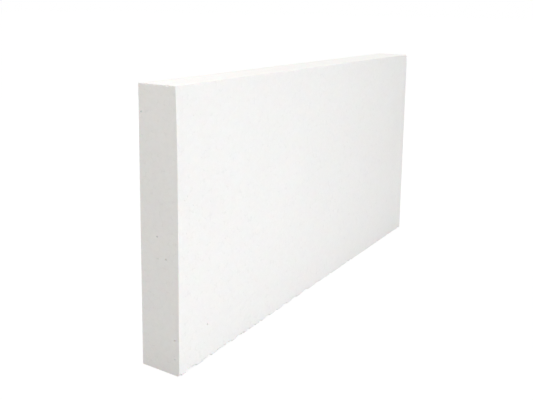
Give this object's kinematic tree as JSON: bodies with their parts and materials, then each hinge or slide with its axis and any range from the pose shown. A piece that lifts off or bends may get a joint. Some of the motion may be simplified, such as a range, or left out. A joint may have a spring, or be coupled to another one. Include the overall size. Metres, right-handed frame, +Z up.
{
  "type": "polystyrene foam board",
  "caption": "Plain white rigid board of expanded bead foam, cut square on all sides, for models, packing, insulation and bench work.",
  "frame": {"origin": "middle of the underside, the long narrow side that the board stands on", "axes": "+X along the length, towards the far end; +Y through the thickness, towards the back face; +Z up. The front face is at -Y and the near end at -X."},
  "size_m": [0.6, 0.05, 0.3],
  "materials": {
    "bead_foam": "Matt white closed-cell bead foam, cut with a hot wire: fine bead pattern, small open voids between the beads and torn-out beads along the corners."
  },
  "bodies": {
    "root": {"foam_board": "bead_foam"}
  },
  "joints": []
}
